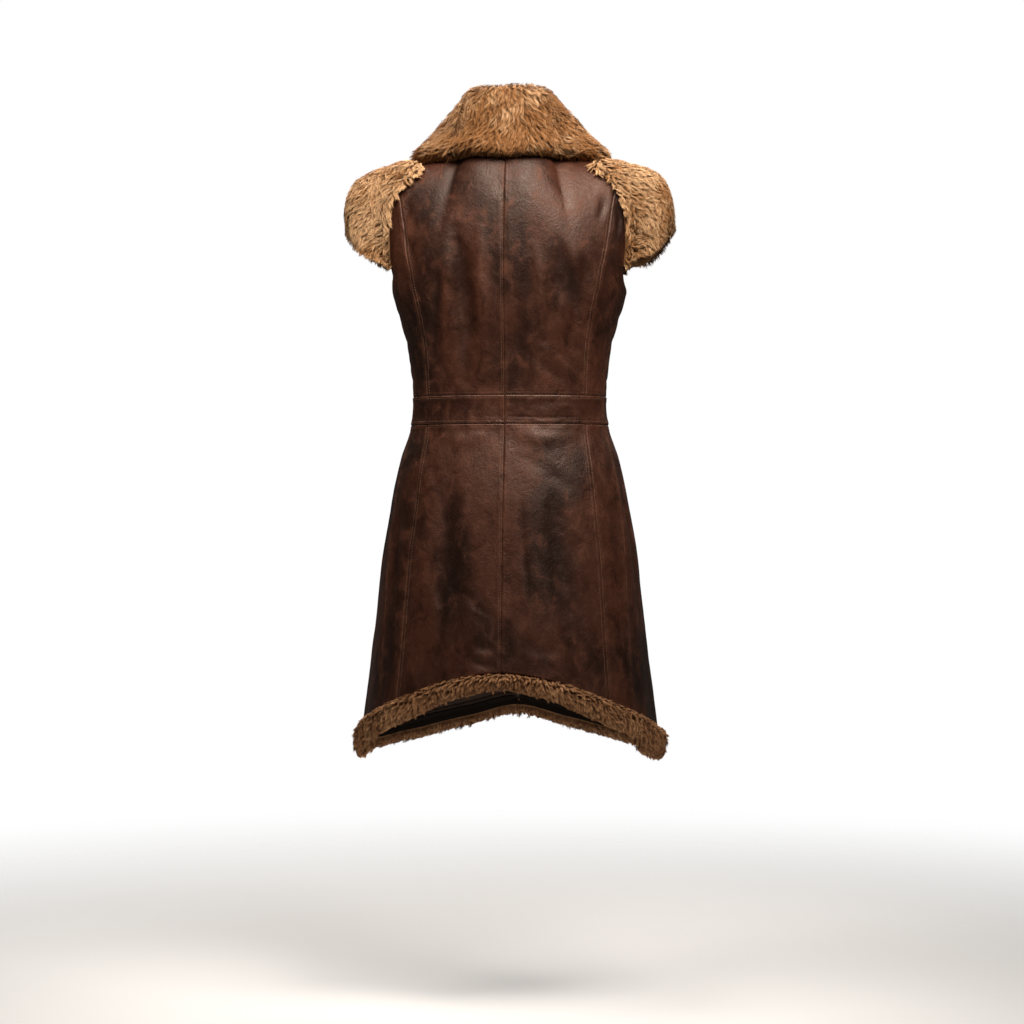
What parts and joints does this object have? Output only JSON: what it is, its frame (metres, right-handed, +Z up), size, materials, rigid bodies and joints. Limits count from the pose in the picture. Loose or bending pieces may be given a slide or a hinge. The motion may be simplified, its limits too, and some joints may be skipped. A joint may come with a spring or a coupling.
{
  "type": "sleeveless leather coat with fur trim",
  "caption": "Worn sleeveless leather coat, flared and high-low at the hem, with a fur shawl collar, fur shoulder caps and a fur hem.",
  "frame": {"origin": "middle of the base of the neck, level with the shoulder seams at the neck, where the coat hangs on its wearer", "axes": "+Z up, the front faces -Y, the wearer's left is +X"},
  "size_m": [0.6102, 0.4071, 1.2323],
  "materials": {
    "leather": "distressed oiled leather, mottled dark brown, semi-gloss, burnished at seams",
    "waistband_leather": "the same leather in a doubled band, slightly redder and more burnished at its edges",
    "collar_fur": "golden tan shearling with long clumped pile and darker roots",
    "hem_fur": "darker brown tan shearling with a shorter, denser pile"
  },
  "bodies": {
    "root": {"back_bodice_left": "leather", "back_bodice_right": "leather", "side_bodice_left": "leather", "side_bodice_right": "leather", "front_bodice_left": "leather", "front_bodice_right": "leather", "skirt_back_left": "leather", "skirt_back_right": "leather", "skirt_side_left": "leather", "skirt_side_right": "leather", "skirt_front_left": "leather", "skirt_front_right": "leather", "waistband_back_left": "waistband_leather", "waistband_back_right": "waistband_leather", "waistband_front_left": "waistband_leather", "waistband_front_right": "waistband_leather", "fur_collar": "collar_fur", "shoulder_cap_left": "collar_fur", "shoulder_cap_right": "collar_fur", "hem_fur_back": "hem_fur", "hem_fur_front_left": "hem_fur", "hem_fur_front_right": "hem_fur"}
  },
  "joints": []
}
